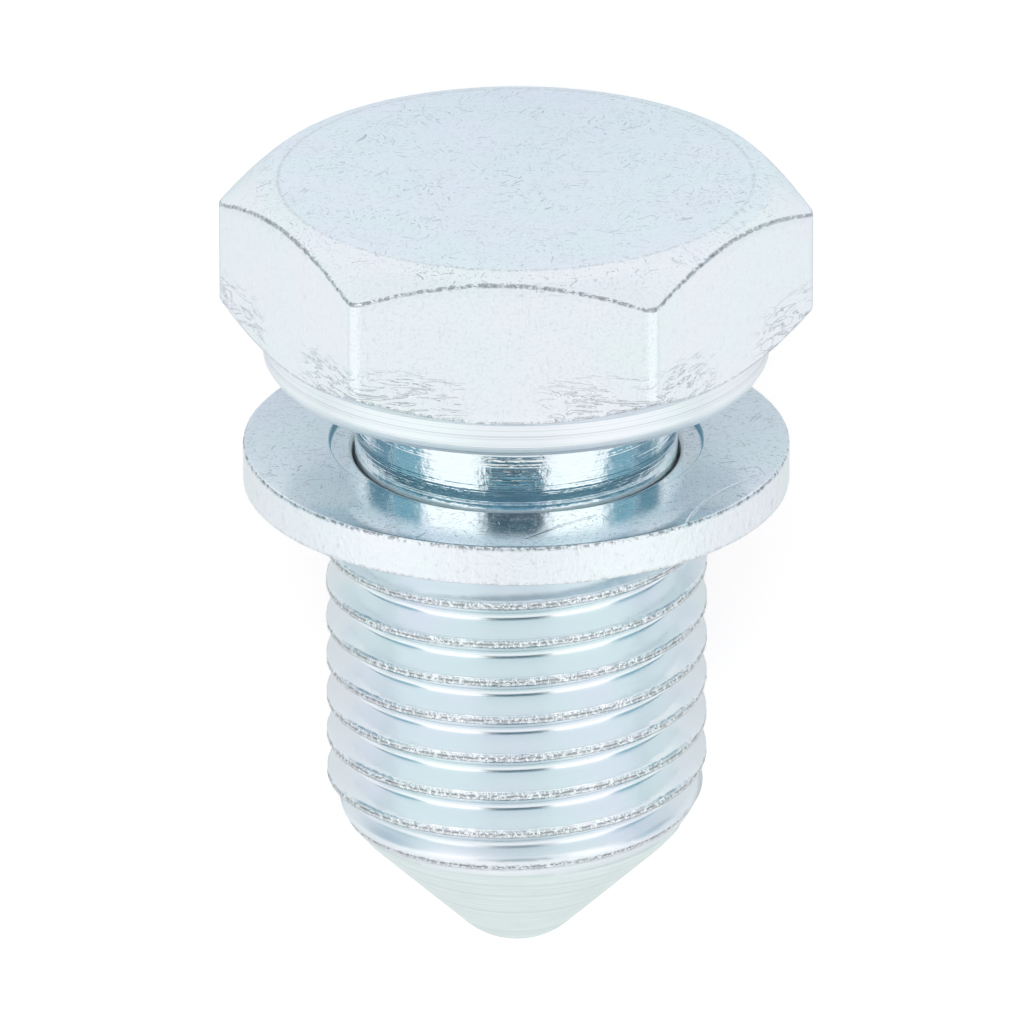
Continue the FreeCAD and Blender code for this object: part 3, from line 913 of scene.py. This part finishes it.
# %% The washer's torn rim
rim_zinc, tree, shader, place, height, colour = zinc("zinc_sheared_rim", 0.30)
grain = add(tree, "ShaderNodeVectorMath", TIMES, {0: place, 1: (3.8, 3.8, 2.8)}).outputs[0]
noise = {"Vector": grain, "Scale": 1.0, "Detail": 4.0, "Roughness": 0.65}
grain, tears = patchy(tree, noise, 0.56, 0.74, most=0.22)
burred = 0.0
for start, end, most in ((-3.30, -3.18, 1.0), (-4.44, -4.56, 0.45)):
    burr = {"Value": height, "From Min": start, "From Max": end, "To Max": most}
    burr = add(tree, "ShaderNodeMapRange", links=burr).outputs[0]
    burred = add(tree, "ShaderNodeMath", HIGHER, {0: burred, 1: burr}).outputs[0]
noise = {"Vector": place, "Scale": 5.5, "Detail": 3.0, "Roughness": 0.7}
pits = patchy(tree, noise, 0.48, 0.58, most=0.80)[1]
pits = add(tree, "ShaderNodeMath", TIMES, {0: pits, 1: burred}).outputs[0]
pits = add(tree, "ShaderNodeMath", HIGHER, {0: pits, 1: tears}).outputs[0]
colour = add(tree, "ShaderNodeMix", COLOURS, {0: pits, 6: colour, 7: PIT_AND_EDGE_REFLECTION}).outputs[2]
finish(tree, shader, colour, [(grain, 0.075)])
print(f"rim: {len(tree.nodes)} nodes")

# %% [markdown]
# Each face already knows its zone, so the finishes go on by number.

# %% Put the finishes on
for piece, finishes, zone in (
    (plug, (head_zinc, collar_zinc, neck_zinc, thread_zinc, tip_zinc), plug_zone),
    (washer, (face_zinc, rim_zinc), washer_zone),
):
    piece.data.materials.clear()
    for finish in finishes:
        piece.data.materials.append(finish)
    piece.data.polygons.foreach_set("material_index", zone.astype(np.int32))
    piece.data.update()
    print(piece.name, [finish.name for finish in piece.data.materials])

# %% [markdown]
# Each visual piece takes the place of its solid and moves with its body: the washer slides on the neck.

# %% Ride on the bodies
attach(plug, "plug")
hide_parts("plug")
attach(washer, "captive_washer")
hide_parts("captive_washer")

# %% [markdown]
# ## The studio
# The photograph was taken in a white tent. What gives the metal its shape is what it mirrors: a soft box
# on each side of the camera, the camera's own dark place between them, and paper that is a little bluer
# where the top of the head looks. The neck and the washer stand square to each other, so together they
# send the camera's dark place straight back to it, twice.

# %% Layers of the studio


def laid_over(tree, base, layers):
    """The base colour with the layers over it in turn, and how far the last one covers.

    A layer covers the place where all its bands meet. Each band is a value, low, high and soft: 1 between
    low and high, eased to 0 on both sides."""
    for bands, shade in layers.values():
        share = 1.0
        for value, low, high, soft in bands:
            for start, end in ((low - soft, low + soft), (high + soft, high - soft)):
                side = {"Value": value, "From Min": start, "From Max": end}
                side = add(tree, "ShaderNodeMapRange", EASED, side).outputs[0]
                share = add(tree, "ShaderNodeMath", TIMES, {0: share, 1: side}).outputs[0]
        base = add(tree, "ShaderNodeMix", COLOURS, {0: share, 6: base, 7: shade}).outputs[2]
    return base, share


print("a band is 4 nodes, and each layer has one more")

# %% [markdown]
# The floor is white paper, bright enough to read as white where the camera sees it, with the plug's soft
# shadow kept. What the metal mirrors of it is toned like the cards that a photographer lays round a shiny
# part: pale blue ahead of the head and beyond the tip, and dark ones to the sides, which the neck mirrors.

# %% Floor
floor_mesh = bpy.data.meshes.new("floor")
floor_mesh.from_pydata([(-3, -3, 0), (3, -3, 0), (3, 3, 0), (-3, 3, 0)], [], [(0, 1, 2, 3)])
floor = in_scene("floor", floor_mesh)
paper = bpy.data.materials.new("white_paper")
paper.use_nodes = True
tree = paper.node_tree
tree.nodes.clear()
rays = add(tree, "ShaderNodeLightPath").outputs
spot = add(tree, "ShaderNodeTexCoord").outputs["Object"]
apart = add(tree, "ShaderNodeSeparateXYZ", links={0: spot}).outputs
along = apart["X"]
beside = add(tree, "ShaderNodeMath", SIZE, {0: apart["Y"]}).outputs[0]
turned = add(tree, "ShaderNodeMath", TIMES_PLUS, {0: along, 1: -1.15, 2: beside}).outputs[0]
cards = {
    "ahead of the head": (
        [(along, 0.014, 0.033, 0.004), (beside, -0.1, 0.014, 0.004)],
        (0.075, 0.12, 0.16, 1),
    ),
    "beyond the tip": ([(along, -0.100, -0.0155, 0.0035)], (0.05, 0.06, 0.05, 1)),
    "beside the neck": (
        [(along, 0.006, 0.016, 0.002), (beside, 0.004, 0.020, 0.002)],
        (0.02, 0.07, 0.10, 1),
    ),
    "far to the sides": (
        [(along, 0.009, 0.500, 0.003), (beside, 0.028, 0.500, 0.003), (turned, 0.004, 2.0, 0.003)],
        (0.0, 0.0, 0.0, 1),
    ),
}
glow, far_cards = laid_over(tree, (0.17, 0.165, 0.16, 1), cards)
glossy = rays["Is Glossy Ray"]
glow = add(tree, "ShaderNodeMix", COLOURS, {0: glossy, 6: (0.36, 0.35, 0.35, 1), 7: glow}).outputs[2]
clamped = PLUS | {"use_clamp": True}
seen = add(tree, "ShaderNodeMath", clamped, {0: rays["Is Camera Ray"], 1: glossy}).outputs[0]
lit = add(tree, "ShaderNodeEmission", links={"Color": glow, "Strength": seen}).outputs[0]
dim = add(tree, "ShaderNodeMath", TIMES, {0: glossy, 1: far_cards}).outputs[0]
shades = {0: dim, 6: (0.86, 0.86, 0.86, 1), 7: (0.15, 0.30, 0.38, 1)}
white = add(tree, "ShaderNodeMix", COLOURS, shades).outputs[2]
matt = add(tree, "ShaderNodeBsdfDiffuse", links={"Color": white}).outputs[0]
surface = add(tree, "ShaderNodeAddShader", links={0: matt, 1: lit}).outputs[0]
add(tree, "ShaderNodeOutputMaterial", links={"Surface": surface})
floor_mesh.materials.append(paper)
print("cards on the floor:", ", ".join(cards))

# %% [markdown]
# The tent is worked out round the standing plug, where the camera looks down at it by 23 degrees: how far
# up a direction points, and how far it is turned from the camera's side.

# %% World
world = bpy.data.worlds.new("studio")
bpy.context.scene.world = world
world.use_nodes = True
tree = world.node_tree
tree.nodes.clear()
way = add(tree, "ShaderNodeTexCoord").outputs["Generated"]
upright, facing, sideways = (
    add(tree, "ShaderNodeVectorMath", {"operation": "DOT_PRODUCT"}, {0: way, 1: tuple(v)}).outputs["Value"]
    for v in (lying[:, 2], -lying[:, 1], lying[:, 0])
)
azimuth = add(tree, "ShaderNodeMath", {"operation": "ARCTAN2"}, {0: sideways, 1: facing}).outputs[0]
azimuth = add(tree, "ShaderNodeMath", MINUS, {0: azimuth, 1: math.radians(1.5)}).outputs[0]
aside = add(tree, "ShaderNodeMath", SIZE, {0: azimuth}).outputs[0]
aside = add(tree, "ShaderNodeMath", TIMES, {0: aside, 1: 180 / math.pi}).outputs[0]
patches = {
    "overhead": ([(upright, 0.78, 2.0, 0.18)], (0.99, 0.99, 0.99, 1)),
    "below": ([(upright, -2.0, -0.38, 0.27)], (1.10, 1.06, 1.04, 1)),
    "dark flags": ([(aside, 70, 145, 3), (upright, 0.04, 0.62, 0.06)], (0.25, 0.48, 0.58, 1)),
    "soft boxes": ([(aside, 23, 66, 3), (upright, -0.05, 0.85, 0.05)], (1.58, 1.45, 1.42, 1)),
    "their lower halves": ([(aside, 24, 100, 7), (upright, -0.75, -0.05, 0.08)], (1.15, 1.13, 1.12, 1)),
    "the camera's place": ([(aside, -9, 21, 3), (upright, 0.04, 0.75, 0.04)], (0.075, 0.115, 0.15, 1)),
    "blue over the camera": ([(aside, -9, 21, 3), (upright, 0.50, 0.75, 0.03)], (0.20, 0.46, 0.58, 1)),
}
tent = laid_over(tree, (0.97, 0.985, 1.0, 1), patches)[0]
sky = add(tree, "ShaderNodeBackground", links={"Color": tent, "Strength": 1.0}).outputs[0]
add(tree, "ShaderNodeOutputWorld", links={"Surface": sky})
print("patches of the tent:", ", ".join(patches))

# %% [markdown]
# ## The camera
# The photograph was taken from far away with a long lens. The standing plug is seen from 23.4 degrees above
# and turned by 2.9 degrees. The plug lies here, so the same camera looks down on it from nearly straight
# above, and the picture shows it upright.

# %% Camera
ELEVATION = math.radians(23.42)
ROLL = math.radians(-0.10)
TURNED = math.radians(-2.9)
AIM = (0.147, 5.605)
FIT_TO_SEAL = 0.10
DISTANCE = 700.0
FOCAL = math.exp(9.8719)


def camera_place():
    """The camera's matrix in the lying frame, in metres."""
    right = np.array([1.0, 0.0, 0.0])
    ahead = np.array([0.0, math.cos(ELEVATION), -math.sin(ELEVATION)])
    up = np.cross(right, ahead)
    axes = np.array([right, up, ahead])
    roll = np.array([[math.cos(ROLL), math.sin(ROLL), 0], [-math.sin(ROLL), math.cos(ROLL), 0], [0, 0, 1]])
    axes = roll @ axes
    eye = axes.T @ np.array([-AIM[0], -AIM[1], -DISTANCE])
    eye[2] += FIT_TO_SEAL
    c, s = math.cos(-TURNED), math.sin(-TURNED)
    turn = np.array([[c, -s, 0], [s, c, 0], [0, 0, 1]])
    eye = turn @ eye
    axes = axes @ turn.T
    right, up, ahead = (lying @ a for a in axes)
    place = Matrix.Identity(4)
    for k in range(3):
        place[k][0], place[k][1], place[k][2] = right[k], up[k], -ahead[k]
    place.translation = Vector(lay_down(eye))
    return place


camera = in_scene("camera", bpy.data.cameras.new("camera"))
camera.matrix_world = camera_place()
camera.data.sensor_width = 36
camera.data.lens = FOCAL * 36 / 1024
camera.data.clip_start = 0.05
camera.data.clip_end = 20
bpy.context.scene.camera = camera
bpy.context.scene.view_settings.view_transform = "Standard"
print("camera at", [round(v, 3) for v in camera.matrix_world.translation], "m")
